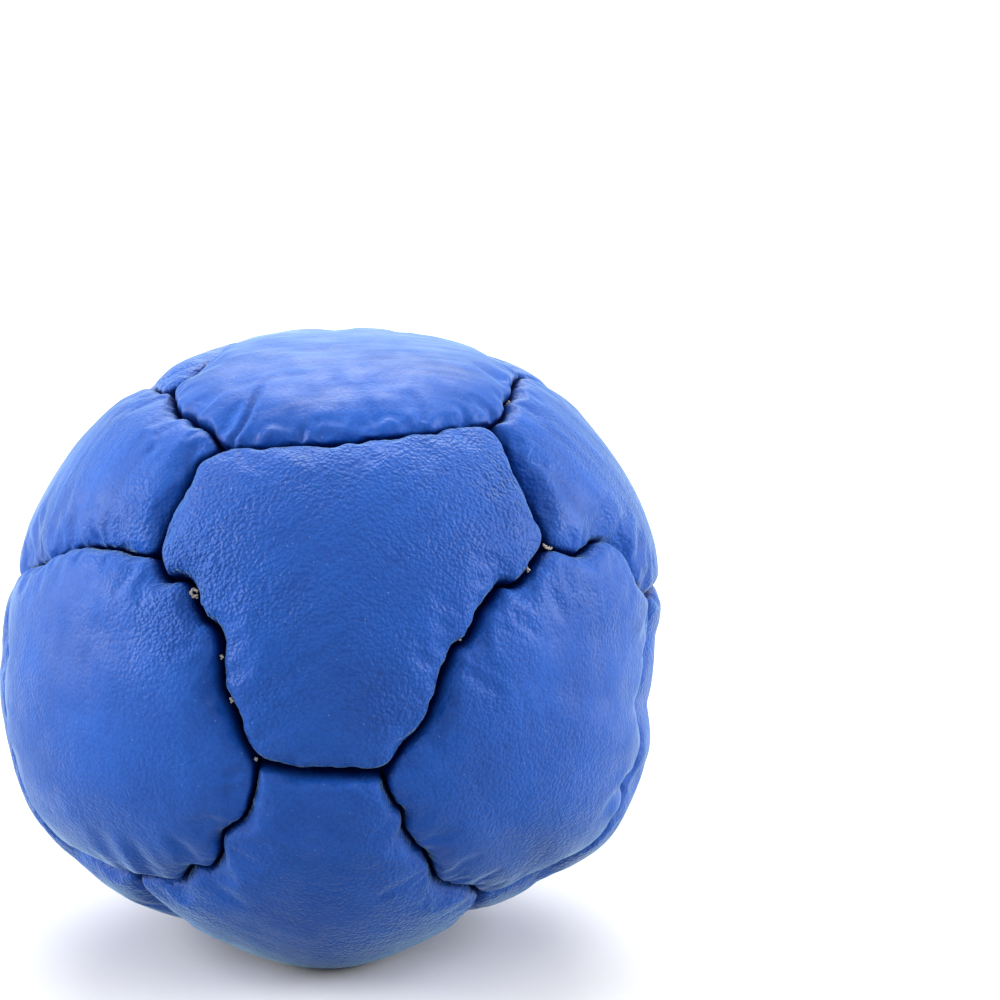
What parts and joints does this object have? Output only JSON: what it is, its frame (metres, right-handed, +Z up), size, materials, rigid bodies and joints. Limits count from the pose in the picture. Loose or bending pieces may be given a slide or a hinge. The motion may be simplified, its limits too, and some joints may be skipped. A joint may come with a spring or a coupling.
{
  "type": "footbag",
  "caption": "Round footbag sewn from square and hexagonal leather panels with turned-in seams and a loose pellet filling, resting on a flattened square panel.",
  "frame": {"origin": "on the surface the footbag rests on, under the middle of its bounding box", "axes": "+Z up; -Y towards the viewer of the picture; +X to the right in the picture"},
  "size_m": [0.0548, 0.0536, 0.051],
  "materials": {
    "leather": "smooth blue leather, semi-matte",
    "thread": "waxed thread",
    "pellets": "small plastic pellets"
  },
  "bodies": {
    "root": {"top_square_panel": "leather", "bottom_square_panel": "leather", "front_left_square_panel": "leather", "rear_right_square_panel": "leather", "front_right_square_panel": "leather", "rear_left_square_panel": "leather", "front_upper_hexagon_panel": "leather", "front_lower_hexagon_panel": "leather", "left_upper_hexagon_panel": "leather", "left_lower_hexagon_panel": "leather", "right_upper_hexagon_panel": "leather", "right_lower_hexagon_panel": "leather", "rear_upper_hexagon_panel": "leather", "rear_lower_hexagon_panel": "leather", "thread_round_top_square": "thread", "thread_round_bottom_square": "thread", "thread_round_front_left_square": "thread", "thread_round_rear_right_square": "thread", "thread_round_front_right_square": "thread", "thread_round_rear_left_square": "thread", "thread_front_left_to_front_right": "thread", "thread_front_right_to_top": "thread", "thread_front_left_to_top": "thread", "thread_bottom_to_front_right": "thread", "thread_bottom_to_front_left": "thread", "thread_rear_left_to_top": "thread", "thread_front_left_to_rear_left": "thread", "thread_bottom_to_rear_left": "thread", "thread_front_right_to_rear_right": "thread", "thread_rear_right_to_top": "thread", "thread_bottom_to_rear_right": "thread", "thread_rear_left_to_rear_right": "thread", "pellet_filling": "pellets"}
  },
  "joints": []
}
